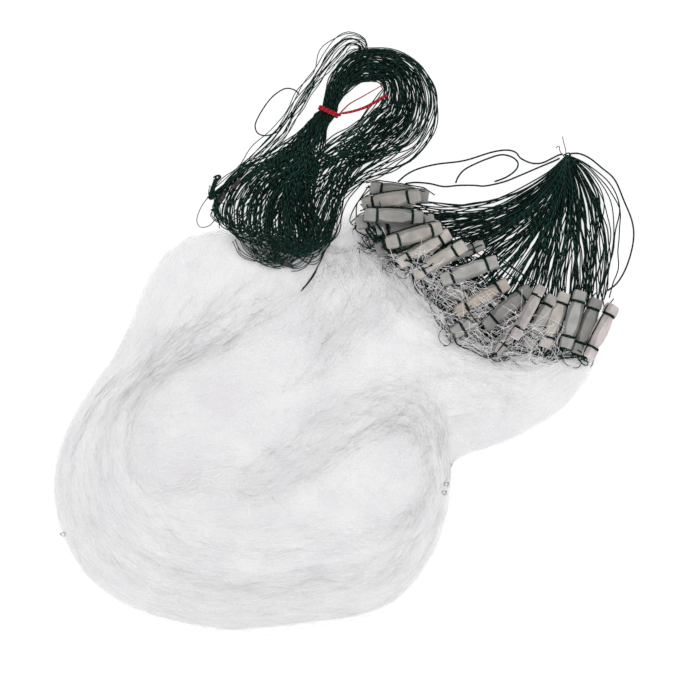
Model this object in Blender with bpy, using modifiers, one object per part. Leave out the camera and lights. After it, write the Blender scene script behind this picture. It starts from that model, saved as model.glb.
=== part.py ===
"""Gill net put away on a table: bunched netting, a hank of foot line, a fan of head line with its floats.

Sizes and places in the tables are millimetres, seen from above, with +Z up and the table top at zero.
"""

import math
from collections import namedtuple

import bmesh
import bpy
from mathutils import Matrix, Vector
from mathutils.bvhtree import BVHTree

MM = 0.001
CLEARANCE = 0.3  # between neighbouring pieces
LAYOUT_MIDDLE = (-2.4, 1.1)  # of the box round all but the loose lines
UNDER = -5.0  # a bunch that rests on the table reaches this low before it is cut flat

HEAD_LINE = 1.4
FOOT_LINE = 1.1
TIE_THICK = 1.7
TIE_THIN = 0.9
POINT_SPACING = 3.0  # diameters between the points of a loose line
SHARP_ANGLE = math.radians(40)

FLOAT_LENGTH = 50.0
FLOAT_WIDTH = 13.0
FLOAT_THICKNESS = 9.5
FLOAT_CORNER = 2.2
LAY_DOWN_FROM = 30.0  # above what a float will rest on, before it is let down
LAY_DOWN_STEP = 0.25
SINKER_LENGTH = 9.0
SINKER_DIAMETER = 3.4

ROWS_PER_SECTION = 3  # steps of a loft between one row of its table and the next
NETTING_FOLD_DEPTH = 0.14  # of the height, and how much it varies along the bunch
NETTING_FOLD_CHANGE = 0.06
LINE_FOLD_DEPTH = 0.24
LINE_ROUNDNESS = 0.6
LOCK_STEPS = 14
LOCK_START_WIDTH = 0.45  # of the full width, at the gather
LOCK_BOW_SHAPE = 0.8  # under 1 the lock bows most in its first half
LOCK_FALL_SHAPE = 0.7

# ---------------------------------------------------------------- netting
# A row is one section across the bunch, from its outer edge to its inner edge.
Section = namedtuple("Section", "outer_x outer_y inner_x inner_y height")

COIL = [
    Section(-104, 92, 2, 77, 4.5),
    Section(-138, 80, 14, 65, 5),
    Section(-164, 48, 4, 42, 16),
    Section(-178, 10, -38, 14, 27),
    Section(-192, -18, -86, -10, 34),
    Section(-213, -48, -137, -34, 38),
    Section(-233, -84, -156, -56, 40),
    Section(-242, -124, -160, -82, 42),
    Section(-236, -165, -151, -109, 44),
    Section(-214, -204, -132, -131, 46),
    Section(-178, -230, -105, -143, 47),
    Section(-134, -244, -73, -146, 48),
    Section(-88, -250, -40, -142, 48),
    Section(-32, -245, -6, -134, 46),
    Section(23, -237, 22, -126, 44),
    Section(58, -218, 38, -120, 42),
    Section(82, -182, 49, -114, 41),
    Section(94, -146, 54, -109, 40),
    Section(96, -110, 55, -105, 39),
    Section(92, -76, 52, -101, 39),
    Section(80, -48, 45, -96, 39),
    Section(54, -31, 32, -98, 39),
    Section(26, -32, 10, -110, 38),
    Section(-5, -48, -15, -122, 35),
    Section(-32, -71, -40, -136, 30),
    Section(-60, -95, -68, -146, 24),
    Section(-83, -112, -90, -144, 15),
]
FOLD_CORE = [
    Section(-66, -80, -70, -150, 18),
    Section(-34, -60, -36, -152, 28),
    Section(6, -44, 4, -150, 34),
    Section(46, -46, 44, -148, 36),
    Section(74, -66, 72, -138, 34),
    Section(88, -86, 86, -122, 27),
]
FLOAT_ARM = [
    Section(-182, -52, -176, -112, 12),
    Section(-150, -14, -140, -140, 14),
    Section(-112, 14, -92, -152, 17),
    Section(-76, 38, -54, -154, 21),
    Section(-40, 52, -12, -152, 26),
    Section(-6, 68, 28, -146, 29),
    Section(20, 80, 72, -128, 30),
    Section(40, 58, 104, -104, 29),
    Section(63, 34, 136, -94, 27),
    Section(91, 12, 165, -80, 24),
    Section(121, -6, 189, -65, 20),
    Section(150, -16, 206, -46, 15),
    Section(184, -18, 218, -31, 9),
    Section(208, -18, 224, -22, 4),
]
HEADING_STRIP = [
    Section(36, 104, 15, 88, 4.5),
    Section(48, 83, 25, 62, 5),
    Section(66, 66, 42, 42, 5),
    Section(87, 51, 64, 20, 5),
    Section(105, 33, 88, 4, 5),
    Section(129, 17, 110, -14, 5),
    Section(155, 5, 140, -26, 5),
    Section(180, 4, 174, -27, 5),
    Section(204, 2, 204, -25, 5),
    Section(217, -2, 222, -18, 4),
]

# ---------------------------------------------------------------- foot line hank
# A row is a place along the middle of a bunch of line, with half its width, its height and its underside.
Station = namedtuple("Station", "x y half_width height base")

HANK_LOOP = [
    Station(-8, 190, 7, 13, 3.2),
    Station(-3, 203, 9, 14, 2.6),
    Station(4, 218, 12, 15, -2),
    Station(17, 229, 13, 15, UNDER),
    Station(34, 233, 13, 15, UNDER),
    Station(49, 225, 15, 15, UNDER),
    Station(59, 210, 18, 15, UNDER),
    Station(60, 192, 19, 16, UNDER),
    Station(49, 172, 20, 17, UNDER),
    Station(28, 151, 16, 19, UNDER),
    Station(8, 131, 16, 20, UNDER),
    Station(-6, 110, 20, 20, 1),
    Station(-20, 92, 19, 18, 4.8),
    Station(-32, 74, 12, 14, 5.6),
]
HANK_LEG = [
    Station(-8, 190, 7, 13, 3.2),
    Station(-15, 177, 9, 14, 2.6),
    Station(-24, 160, 13, 16, -2),
    Station(-41, 134, 23, 19, UNDER),
    Station(-58, 112, 35, 20, 1),
    Station(-66, 95, 37, 18, 4.8),
    Station(-66, 76, 26, 14, 5.6),
]
HANK_MIDDLE = [
    Station(-22, 150, 9, 12, UNDER),
    Station(-26, 130, 16, 15, UNDER),
    Station(-34, 110, 24, 18, 1),
    Station(-40, 92, 26, 18, 4.8),
    Station(-40, 68, 18, 14, 5.6),
]
HANK_SIDE = [
    Station(-104, 110, 6, 5, UNDER),
    Station(-90, 126, 6, 6, UNDER),
    Station(-75, 143, 5, 7, UNDER),
    Station(-60, 160, 5, 7, UNDER),
    Station(-45, 178, 4, 7, UNDER),
    Station(-28, 204, 4, 7, UNDER),
    Station(-16, 221, 4, 7, UNDER),
    Station(-4, 236, 4, 7, UNDER),
    Station(8, 247, 4, 7, UNDER),
    Station(20, 247, 4, 7, UNDER),
    Station(26, 236, 4, 7, UNDER),
]

# ---------------------------------------------------------------- head line fan
# A row is one lock of the line: where it ends beside the floats, how far it bows, and half its width.
Lock = namedtuple("Lock", "x y bow half_width")

GATHER = (194, 153)
GATHER_HEIGHT = 13.0
LOCK_END_HEIGHT = 4.5
LOCKS = [
    Lock(70, 119, 30, 3.5),
    Lock(76, 111, 30, 4),
    Lock(82, 103, 28, 4),
    Lock(88, 95, 26, 4),
    Lock(96, 87, 23, 4),
    Lock(106, 79, 20, 4),
    Lock(119, 71, 17, 4),
    Lock(130, 60, 15, 4),
    Lock(142, 50, 12, 4),
    Lock(155, 44, 9, 4),
    Lock(168, 38, 7, 4),
    Lock(180, 36, 7, 4),
    Lock(193, 37, 9, 4),
    Lock(205, 37, 13, 3.5),
    Lock(215, 35, 19, 3.5),
    Lock(224, 35, 27, 3),
]

# ---------------------------------------------------------------- floats
# A row is one float, the lowest first: its middle, the heading of its long axis and its roll in degrees.
FloatPlace = namedtuple("FloatPlace", "x y heading roll shade")

FLOATS = [
    FloatPlace(52, 122, -9, 8, "grey"),
    FloatPlace(39, 103, 20, 0, "grey"),
    FloatPlace(56, 79, 14, 5, "grey"),
    FloatPlace(100, 69, 20, 90, "grey"),
    FloatPlace(96, 38, -38, 0, "beige"),
    FloatPlace(118, 14, 30, 0, "grey"),
    FloatPlace(147, 6, 58, 90, "pink"),
    FloatPlace(171, 12, 62, 10, "grey"),
    FloatPlace(199, 14, 74, 0, "grey"),
    FloatPlace(57, 94, 9, -12, "grey"),
    FloatPlace(73, 74, 31, 6, "beige"),
    FloatPlace(45, 115, 8, 10, "beige"),
    FloatPlace(122, 32, 30, 0, "brown"),
    FloatPlace(86, 64, 31, 0, "beige"),
    FloatPlace(47, 101, -2, 4, "grey"),
    FloatPlace(64, 85, 17, 8, "beige"),
    FloatPlace(111, 55, 19, -6, "grey"),
    FloatPlace(143, 24, 40, 5, "grey"),
    FloatPlace(184, 13, 68, -8, "beige"),
    FloatPlace(211, 8, 70, 4, "grey"),
    FloatPlace(222, 4, 63, 42, "pink"),
    FloatPlace(160, 20, 62, 90, "pink"),
]
FLOAT_SHADES = {
    "grey": (0.36, 0.35, 0.33, 1),
    "beige": (0.40, 0.37, 0.34, 1),
    "brown": (0.33, 0.27, 0.22, 1),
    "pink": (0.42, 0.37, 0.37, 1),
}
# A cross section of the float: distance from its middle as a share of half its length, and its share of
# the full width and thickness. The narrow ones are the grooves that the head line is lashed into.
Slice = namedtuple("Slice", "along width thickness")

FLOAT_SLICES = [
    Slice(0.42, 1.0, 1.0),
    Slice(0.62, 0.74, 0.80),
    Slice(0.74, 0.88, 0.92),
    Slice(1.0, 0.70, 0.74),
]

# ---------------------------------------------------------------- sinkers
SinkerPlace = namedtuple("SinkerPlace", "x y heading")

SINKERS = [
    SinkerPlace(-98, 117, 62),
    SinkerPlace(-86, 129, 45),
    SinkerPlace(-42, 60, -18),
]

# ---------------------------------------------------------------- loose lines and tie
# Each route is a short list of places of the middle of the line, x, y and height.
HEAD_LINE_ROUTES = {
    "head_line_stray_1": [
        (51, 131, 0.8), (58, 137, 0.8), (68, 142, 0.8), (84, 146, 0.8), (107, 149, 0.8), (130, 156, 0.8),
        (143, 158, 0.8), (151, 156, 1.6), (155, 151, 2.8), (164, 147, 1.4), (173, 147, 0.8), (182, 151, 0.8),
        (187, 153.6, 0.8), (190.9, 154.6, 0.8),
    ],
    "head_line_stray_2": [
        (100, 130, 0.8), (102, 135, 0.8), (107, 141, 0.8), (116, 146, 0.8), (128, 151, 0.8), (139, 154, 0.8),
        (148, 152, 0.8), (153, 147, 0.8), (151, 141, 0.8), (143, 135, 0.8), (133, 131.2, 0.8),
    ],
    "head_line_stray_3": [
        (57, 129.5, 0.8), (66, 130.5, 0.8), (78, 129.5, 0.8), (90, 127, 0.8), (103, 128, 0.8), (116, 128, 0.8),
        (125, 127.5, 0.8), (141, 131, 0.8), (156, 137, 0.8), (170, 143, 0.8), (182, 148, 0.8), (188.4, 151, 0.8),
    ],
    "head_line_stray_4": [
        (197.6, 155, 0.8), (205, 155, 0.8), (214, 151, 0.8), (224, 143, 0.8), (235, 133, 0.8), (243, 115, 0.8),
        (250, 97, 0.8), (251, 81, 0.8), (246, 61, 0.8), (238, 46, 0.8), (229, 38.5, 0.8),
    ],
}
FOOT_LINE_ROUTES = {
    "foot_line_loop": [
        (-33, 205.3, 0.7), (-36, 208.5, 0.7), (-42, 210.5, 0.7), (-48, 209, 0.7), (-57, 202, 0.7),
        (-65, 191, 0.7), (-70, 181, 0.7), (-70, 173, 0.7), (-67, 168, 0.7), (-63.2, 165.6, 0.7),
    ],
    "foot_line_end": [
        (-11.5, 72, 4.4), (-14, 65, 6.0), (-17, 59, 7.6), (-20, 52, 10.0), (-25, 45, 12.2), (-31, 38, 13.8),
    ],
}
TIE_MIDDLE = (-8, 190)
TIE_HEADING = 65.0  # of the bunch that it closes
TIE_HALF_WIDTH = 10.1
TIE_LOW = 1.0
TIE_HIGH = 16.5
TIE_SQUARENESS = 0.55
TIE_KNOT = (2.2, 186.0, 8.5)
TIE_KNOT_SIZE = (5.0, 5.0, 4.0)
TIE_ROUTES = {
    "tie_end_thick": (TIE_THICK, [(5.3, 185.6, 8.8), (12, 187, 10), (22, 191, 13), (32, 196, 16), (42, 202, 18)]),
    "tie_end_thin": (TIE_THIN, [(4.4, 187.7, 9.6), (12, 195, 12), (22, 202, 14), (32, 209, 17), (38, 213, 18)]),
}

COLOURS = {
    "netting": (0.84, 0.85, 0.86, 1),
    "line": (0.012, 0.035, 0.028, 1),
    "lead": (0.16, 0.16, 0.17, 1),
    "tie": (0.62, 0.02, 0.04, 1),
}


def clear_scene():
    for old in list(bpy.data.objects):
        bpy.data.objects.remove(old, do_unlink=True)


def material(name, colour, roughness, metallic=0.0):
    made = bpy.data.materials.new(name)
    made.use_nodes = True
    shader = made.node_tree.nodes["Principled BSDF"]
    shader.inputs["Base Color"].default_value = colour
    shader.inputs["Roughness"].default_value = roughness
    shader.inputs["Metallic"].default_value = metallic
    return made


def placed(point):
    """A place of the layout in metres, in the object's own frame."""
    return Vector((point[0] - LAYOUT_MIDDLE[0], point[1] - LAYOUT_MIDDLE[1], point[2])) * MM


def smooth_row(rows, place):
    """One row read at a fractional place from a smooth curve through all the rows."""
    first = min(int(place), len(rows) - 2)
    t = place - first
    before, here, there, after = (rows[max(0, min(len(rows) - 1, first + k))] for k in (-1, 0, 1, 2))
    values = [
        0.5 * (2 * b + (c - a) * t + (2 * a - 5 * b + 4 * c - d) * t * t + (3 * b - a - 3 * c + d) * t ** 3)
        for a, b, c, d in zip(before, here, there, after)
    ]
    return type(here)(*values) if hasattr(here, "_fields") else tuple(values)


def smooth_rows(rows, per_row):
    steps = (len(rows) - 1) * per_row
    return [smooth_row(rows, k / per_row) for k in range(steps + 1)]


def loft(rings):
    """One closed body through rings of as many points each, with a flat cap at both ends."""
    shape = bmesh.new()
    loops = [[shape.verts.new(placed(point)) for point in ring] for ring in rings]
    count = len(loops[0])
    for low, high in zip(loops, loops[1:]):
        for k in range(count):
            after = (k + 1) % count
            shape.faces.new((low[k], low[after], high[after], high[k]))
    shape.faces.new(loops[0][::-1])
    shape.faces.new(loops[-1])
    bmesh.ops.recalc_face_normals(shape, faces=shape.faces)
    mesh = bpy.data.meshes.new("loft")
    shape.to_mesh(mesh)
    shape.free()
    return mesh


def fold_ring(edge_a, edge_b, height, base, folds, phase, depth, roundness=0.45, points=36):
    """A section from edge to edge: rounded sides and a top with soft folds over a flat underside."""
    ring = []
    for k in range(points + 1):
        u = k / points
        dome = (4 * u * (1 - u)) ** roundness
        fold = 1 - depth * (0.5 + 0.5 * math.cos(2 * math.pi * folds * u + phase))
        top = max(base, 0) + (height - max(base, 0)) * dome * fold
        place = edge_a.lerp(edge_b, u)
        ring.append((place.x, place.y, max(top, base + 0.5)))
    ring.append((edge_b.x, edge_b.y, base))
    ring.append((edge_a.x, edge_a.y, base))
    return ring


def netting_loft(rows, folds, sway, roundness):
    rings = []
    for k, row in enumerate(smooth_rows(rows, ROWS_PER_SECTION)):
        outer = Vector((row.outer_x, row.outer_y, 0))
        inner = Vector((row.inner_x, row.inner_y, 0))
        phase = sway * math.sin(0.21 * k) + 0.9 * math.sin(0.083 * k + 1)
        depth = NETTING_FOLD_DEPTH + NETTING_FOLD_CHANGE * math.sin(0.37 * k + folds)
        rings.append(fold_ring(outer, inner, row.height, UNDER, folds, phase, depth, roundness))
    return loft(rings)


def edges_of(stations, k):
    """The two edges of one station of a bunch, square to the way the bunch runs there."""
    before = stations[max(0, k - 1)]
    after = stations[min(len(stations) - 1, k + 1)]
    ahead = Vector((after.x - before.x, after.y - before.y, 0)).normalized()
    side = Vector((-ahead.y, ahead.x, 0)) * stations[k].half_width
    middle = Vector((stations[k].x, stations[k].y, 0))
    return middle + side, middle - side


def line_loft(rows, folds):
    rings = []
    stations = smooth_rows(rows, ROWS_PER_SECTION)
    for k, row in enumerate(stations):
        left, right = edges_of(stations, k)
        phase = 0.8 * math.sin(0.3 * k + folds)
        rings.append(
            fold_ring(left, right, row.height, row.base, folds, phase, LINE_FOLD_DEPTH, LINE_ROUNDNESS)
        )
    return loft(rings)


def lock_loft(lock):
    """One lock of head line, from the gather in a bow to its end beside the floats."""
    start = Vector((GATHER[0], GATHER[1], 0))
    end = Vector((lock.x, lock.y, 0))
    along = end - start
    across = Vector((-along.y, along.x, 0)).normalized()
    stations = []
    for k in range(LOCK_STEPS + 1):
        t = k / LOCK_STEPS
        middle = start + along * t + across * lock.bow * math.sin(math.pi * t ** LOCK_BOW_SHAPE) * 0.9
        swell = LOCK_START_WIDTH + (1 - LOCK_START_WIDTH) * math.sin(math.pi * min(1, 0.15 + t * 0.6))
        height = GATHER_HEIGHT + (LOCK_END_HEIGHT - GATHER_HEIGHT) * t ** LOCK_FALL_SHAPE
        stations.append(Station(middle.x, middle.y, lock.half_width * swell, height, UNDER))
    rings = []
    for k, row in enumerate(stations):
        left, right = edges_of(stations, k)
        rings.append(fold_ring(left, right, row.height, row.base, 0, 0, 0, points=8))
    return loft(rings)


def new_object(name, mesh, collection, look=None):
    made = bpy.data.objects.new(name, mesh)
    collection.objects.link(made)
    if look:
        mesh.materials.append(look)
    return made


def applied(subject):
    """The mesh that the object's modifiers make, put back on the object without them."""
    graph = bpy.context.evaluated_depsgraph_get()
    mesh = bpy.data.meshes.new_from_object(subject.evaluated_get(graph))
    subject.modifiers.clear()
    old = subject.data
    subject.data = mesh
    bpy.data.meshes.remove(old)


def keep_largest_body(mesh):
    """Drops crumbs that a cut leaves beside the main body."""
    shape = bmesh.new()
    shape.from_mesh(mesh)
    bmesh.ops.remove_doubles(shape, verts=shape.verts, dist=0.00005)
    unseen = set(shape.verts)
    bodies = []
    while unseen:
        body = set()
        front = [unseen.pop()]
        while front:
            vert = front.pop()
            body.add(vert)
            for edge in vert.link_edges:
                other = edge.other_vert(vert)
                if other in unseen:
                    unseen.remove(other)
                    front.append(other)
        bodies.append(body)
    largest = max(bodies, key=len)
    crumbs = [vert for body in bodies if body is not largest for vert in body]
    bmesh.ops.delete(shape, geom=crumbs, context="VERTS")
    bmesh.ops.triangulate(shape, faces=shape.faces)
    shape.to_mesh(mesh)
    shape.free()


def fuse(name, lofts, voxel, triangles, table_top, collection, look):
    """Lofts that cross each other become one body of about so many triangles, cut flat at the table."""
    shape = bmesh.new()
    for mesh in lofts:
        shape.from_mesh(mesh)
        bpy.data.meshes.remove(mesh)
    mesh = bpy.data.meshes.new(name)
    shape.to_mesh(mesh)
    shape.free()
    made = new_object(name, mesh, collection, look)
    remesh = made.modifiers.new("one skin", "REMESH")
    remesh.mode = "VOXEL"
    remesh.voxel_size = voxel * MM
    applied(made)
    thin = made.modifiers.new("fewer faces", "DECIMATE")
    thin.ratio = min(1.0, triangles / (2 * len(made.data.polygons)))
    cut = made.modifiers.new("flat underside", "BOOLEAN")
    cut.operation = "DIFFERENCE"
    cut.object = table_top
    applied(made)
    keep_largest_body(made.data)
    made.data.shade_smooth()
    return made


def hide_cutter(cutter, collection):
    cutter.hide_render = True
    cutter.display_type = "WIRE"
    for holder in list(cutter.users_collection):
        holder.objects.unlink(cutter)
    collection.objects.link(cutter)


def make_table_top(collection):
    bpy.ops.mesh.primitive_cube_add(size=1)
    block = bpy.context.object
    block.name = "table_top"
    block.scale = (1.2, 1.2, 0.05)
    block.location = (0, 0, -0.025)
    hide_cutter(block, collection)
    return block


def tree_of(subject, swell=Matrix()):
    matrix = subject.matrix_world @ swell
    corners = [matrix @ vert.co for vert in subject.data.vertices]
    return BVHTree.FromPolygons(corners, [tuple(face.vertices) for face in subject.data.polygons])


def float_mesh():
    """A bar of foam with chamfered edges, drawn in at two grooves and tapered at its ends."""
    shape = bmesh.new()
    bmesh.ops.create_cube(shape, size=1.0)
    cuts = [sign * part.along / 2 for part in FLOAT_SLICES[:-1] for sign in (-1, 1)]
    for cut in sorted(set(cuts)):
        bmesh.ops.bisect_plane(
            shape, geom=shape.verts[:] + shape.edges[:] + shape.faces[:],
            plane_co=(cut, 0, 0), plane_no=(1, 0, 0), dist=1e-6,
        )
    for vert in shape.verts:
        part = min(FLOAT_SLICES, key=lambda slice_: abs(slice_.along / 2 - abs(vert.co.x)))
        vert.co.x *= FLOAT_LENGTH * MM
        vert.co.y *= FLOAT_WIDTH * part.width * MM
        vert.co.z *= FLOAT_THICKNESS * part.thickness * MM
    long_edges = [
        edge for edge in shape.edges
        if abs(edge.verts[0].co.y) > 0.001 and abs(edge.verts[0].co.x - edge.verts[1].co.x) > 0.001
        and all(abs(abs(vert.co.z) - max(abs(v.co.z) for v in edge.verts)) < 0.0015 for vert in edge.verts)
        and len(edge.link_faces) == 2
        and edge.link_faces[0].normal.dot(edge.link_faces[1].normal) < 0.5
    ]
    bmesh.ops.bevel(shape, geom=long_edges, offset=FLOAT_CORNER * MM, segments=1, affect="EDGES")
    bmesh.ops.recalc_face_normals(shape, faces=shape.faces)
    mesh = bpy.data.meshes.new("float")
    shape.to_mesh(mesh)
    shape.free()
    return mesh


def support_height(trees, place):
    top = 0.0
    for tree in trees:
        hit = tree.ray_cast(place + Vector((0, 0, 0.2)), Vector((0, 0, -1)))[0]
        if hit:
            top = max(top, hit.z)
    return top


def lay_down(subject, middle, heading, roll, reach, below):
    """Lets a stiff piece down, leaning as what lies under its two ends asks, until it rests there."""
    trees = [tree_of(other) for other in below]
    ahead = Vector((math.cos(heading), math.sin(heading), 0))
    ends = [support_height(trees, middle + ahead * reach * side) for side in (-1, 1)]
    pitch = math.atan2(ends[1] - ends[0], 2 * reach)
    turn = (
        Matrix.Rotation(heading, 4, "Z") @ Matrix.Rotation(-pitch, 4, "Y") @ Matrix.Rotation(roll, 4, "X")
    )
    lowest = min((turn @ vert.co).z for vert in subject.data.vertices)
    halves = [max(abs(vert.co[axis]) for vert in subject.data.vertices) for axis in range(3)]
    swell = Matrix.Diagonal([1 + CLEARANCE * MM / half for half in halves] + [1])
    step = LAY_DOWN_STEP * MM
    height = max(ends) + LAY_DOWN_FROM * MM
    while height > -lowest + step:
        height -= step
        subject.matrix_world = Matrix.Translation((middle.x, middle.y, height)) @ turn
        skin = tree_of(subject, swell)
        if any(tree.overlap(skin) for tree in trees):
            height += step
            break
    else:
        height = -lowest
    subject.matrix_world = Matrix.Translation((middle.x, middle.y, height)) @ turn


def make_floats(below, collection, looks):
    floats = []
    mesh = float_mesh()
    for number, place in enumerate(FLOATS, start=1):
        own = mesh.copy()
        own.name = f"float_{number:02d}"
        made = new_object(own.name, own, collection, looks[place.shade])
        middle = placed((place.x, place.y, 0))
        lay_down(
            made, middle, math.radians(place.heading), math.radians(place.roll),
            0.36 * FLOAT_LENGTH * MM, below + floats,
        )
        floats.append(made)
    bpy.data.meshes.remove(mesh)
    return floats


def make_sinkers(below, collection, look):
    for number, place in enumerate(SINKERS, start=1):
        bpy.ops.mesh.primitive_cylinder_add(
            vertices=10, radius=SINKER_DIAMETER * MM / 2, depth=SINKER_LENGTH * MM, rotation=(0, math.pi / 2, 0)
        )
        made = bpy.context.object
        bpy.ops.object.transform_apply(rotation=True)
        made.name = f"sinker_{number}"
        made.data.materials.append(look)
        made.data.shade_smooth()
        made.data.set_sharp_from_angle(angle=SHARP_ANGLE)
        for holder in list(made.users_collection):
            holder.objects.unlink(made)
        collection.objects.link(made)
        middle = placed((place.x, place.y, 0))
        lay_down(made, middle, math.radians(place.heading), 0.0, 0.3 * SINKER_LENGTH * MM, below)


def evenly_spaced(points, gap):
    """Places a fixed distance apart along a smooth curve through the points."""
    fine = [Vector(row) for row in smooth_rows([tuple(point) for point in points], 24)]
    length = sum((b - a).length for a, b in zip(fine, fine[1:]))
    count = max(2, round(length / gap))
    spaced = [fine[0]]
    travelled = 0.0
    for a, b in zip(fine, fine[1:]):
        travelled += (b - a).length
        if travelled >= length / count * len(spaced) and len(spaced) < count:
            spaced.append(b)
    spaced.append(fine[-1])
    return spaced


def tube(name, points, diameter, collection, look, cyclic=False):
    curve = bpy.data.curves.new(name, "CURVE")
    curve.dimensions = "3D"
    curve.bevel_depth = diameter * MM / 2
    curve.bevel_resolution = 2
    curve.use_fill_caps = True
    spline = curve.splines.new("POLY")
    spline.points.add(len(points) - 1)
    for knot, point in zip(spline.points, points):
        knot.co = (*placed(point), 1)
    spline.use_cyclic_u = cyclic
    made = bpy.data.objects.new(name, curve)
    made.data.materials.append(look)
    collection.objects.link(made)
    return made


def make_loose_lines(collection, line_look, tie_look):
    for name, route in HEAD_LINE_ROUTES.items():
        tube(name, evenly_spaced(route, POINT_SPACING * HEAD_LINE), HEAD_LINE, collection, line_look)
    for name, route in FOOT_LINE_ROUTES.items():
        tube(name, evenly_spaced(route, POINT_SPACING * FOOT_LINE), FOOT_LINE, collection, line_look)
    for name, (diameter, route) in TIE_ROUTES.items():
        tube(name, evenly_spaced(route, POINT_SPACING * diameter), diameter, collection, tie_look)


def make_tie_band(collection, cutters, look):
    """A turn of cord that closes the hank, standing across it, with the knot that its ends leave."""
    across = Vector((math.sin(math.radians(TIE_HEADING)), -math.cos(math.radians(TIE_HEADING)), 0))
    middle = Vector((TIE_MIDDLE[0], TIE_MIDDLE[1], (TIE_LOW + TIE_HIGH) / 2))
    rise = Vector((0, 0, (TIE_HIGH - TIE_LOW) / 2))
    turn = []
    for k in range(24):
        angle = 2 * math.pi * k / 24
        sideways = math.copysign(abs(math.cos(angle)) ** TIE_SQUARENESS, math.cos(angle))
        upwards = math.copysign(abs(math.sin(angle)) ** TIE_SQUARENESS, math.sin(angle))
        turn.append(middle + across * TIE_HALF_WIDTH * sideways + rise * upwards)
    curve = tube("tie_band", turn, TIE_THICK, collection, look, cyclic=True)
    graph = bpy.context.evaluated_depsgraph_get()
    mesh = bpy.data.meshes.new_from_object(curve.evaluated_get(graph))
    bpy.data.objects.remove(curve)
    band = new_object("tie_band", mesh, collection)
    bpy.ops.mesh.primitive_uv_sphere_add(segments=10, ring_count=6, radius=0.5, location=placed(TIE_KNOT))
    knot = bpy.context.object
    knot.name = "tie_knot"
    knot.scale = [size * MM for size in TIE_KNOT_SIZE]
    hide_cutter(knot, cutters)
    joined = band.modifiers.new("knot", "BOOLEAN")
    joined.operation = "UNION"
    joined.object = knot
    return band


def main():
    clear_scene()
    scene = bpy.context.scene
    gear = bpy.data.collections.new("gill_net")
    cutters = bpy.data.collections.new("cutters")
    for holder in (gear, cutters):
        scene.collection.children.link(holder)
    netting_look = material("nylon monofilament", COLOURS["netting"], 0.35)
    line_look = material("green line", COLOURS["line"], 0.6)
    lead_look = material("lead", COLOURS["lead"], 0.5, 0.8)
    tie_look = material("red cord", COLOURS["tie"], 0.55)
    foam_looks = {shade: material(f"{shade} foam", tint, 0.85) for shade, tint in FLOAT_SHADES.items()}

    table_top = make_table_top(cutters)
    netting = fuse(
        "netting",
        [
            netting_loft(COIL, 5, 1.2, 0.6),
            netting_loft(FOLD_CORE, 3, 0.6, 0.6),
            netting_loft(FLOAT_ARM, 6, 0.9, 0.7),
            netting_loft(HEADING_STRIP, 2, 0.3, 0.45),
        ],
        3.0, 4200, table_top, gear, netting_look,
    )
    hank = fuse(
        "foot_line_hank",
        [line_loft(HANK_LOOP, 4), line_loft(HANK_LEG, 5), line_loft(HANK_MIDDLE, 4), line_loft(HANK_SIDE, 2)],
        1.8, 2300, table_top, gear, line_look,
    )
    fan = fuse(
        "head_line_fan", [lock_loft(lock) for lock in LOCKS], 1.6, 2200, table_top, gear, line_look,
    )
    make_floats([netting, hank, fan], gear, foam_looks)
    make_sinkers([netting, hank], gear, lead_look)
    make_loose_lines(gear, line_look, tie_look)
    make_tie_band(gear, cutters, tie_look)


main()
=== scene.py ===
"""Looks for a gill net put away: nylon netting, twisted green lines, foam floats and a red tie.

Tables are in millimetres of the layout, seen from above; everything that is built is in metres.
"""

import math
from collections import namedtuple

import bmesh
import bpy
import numpy as np
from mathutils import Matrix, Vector
from mathutils.bvhtree import BVHTree
from numpy.random import default_rng


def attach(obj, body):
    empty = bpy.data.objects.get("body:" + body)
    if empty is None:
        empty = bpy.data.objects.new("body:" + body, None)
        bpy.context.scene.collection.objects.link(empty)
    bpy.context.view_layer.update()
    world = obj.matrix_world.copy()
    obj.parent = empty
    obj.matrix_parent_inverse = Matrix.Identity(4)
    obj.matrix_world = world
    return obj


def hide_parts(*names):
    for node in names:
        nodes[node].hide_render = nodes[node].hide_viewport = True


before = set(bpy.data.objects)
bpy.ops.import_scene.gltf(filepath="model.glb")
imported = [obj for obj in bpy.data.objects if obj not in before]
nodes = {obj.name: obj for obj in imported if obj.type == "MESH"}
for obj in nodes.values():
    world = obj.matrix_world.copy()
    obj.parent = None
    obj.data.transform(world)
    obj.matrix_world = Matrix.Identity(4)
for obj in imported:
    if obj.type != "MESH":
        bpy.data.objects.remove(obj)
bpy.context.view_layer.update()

MM = 0.001
LAYOUT_MIDDLE = np.array((-2.4, 1.1, 0.0))


def placed(points):
    """Layout millimetres to metres in the object's own frame."""
    return (np.asarray(points, float) - LAYOUT_MIDDLE) * MM


def at_heights(plan, heights):
    """A path in plan with its heights, placed."""
    return placed(np.column_stack((plan, heights)))


def in_layout(points):
    """Metres back to layout millimetres, in plan."""
    return np.array(points)[:, :2] / MM + LAYOUT_MIDDLE[:2]


def table(kind, *rows):
    """Rows whose columns are named as the kind says."""
    return [kind(*row) for row in rows]


def lengths(vectors):
    return np.linalg.norm(vectors, axis=1)


def add_object(name, data):
    made = bpy.data.objects.new(name, data)
    bpy.context.scene.collection.objects.link(made)
    return made


def mesh_of(name, shape):
    mesh = bpy.data.meshes.new(name)
    shape.to_mesh(mesh)
    shape.free()
    return mesh


def evaluated(held):
    """The mesh of an object with its modifiers applied."""
    graph = bpy.context.evaluated_depsgraph_get()
    return bpy.data.meshes.new_from_object(held.evaluated_get(graph))


def store(mesh, name, values, domain="POINT"):
    kept = mesh.attributes.new(name, "FLOAT", domain)
    kept.data.foreach_set("value", np.asarray(values, np.float32))


# ------ camera
CAMERA_HEIGHT = 2.6
VIEW_WIDTH = 0.578
VIEW_MIDDLE = (0.0041, -0.0045)
SENSOR = 36.0

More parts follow.
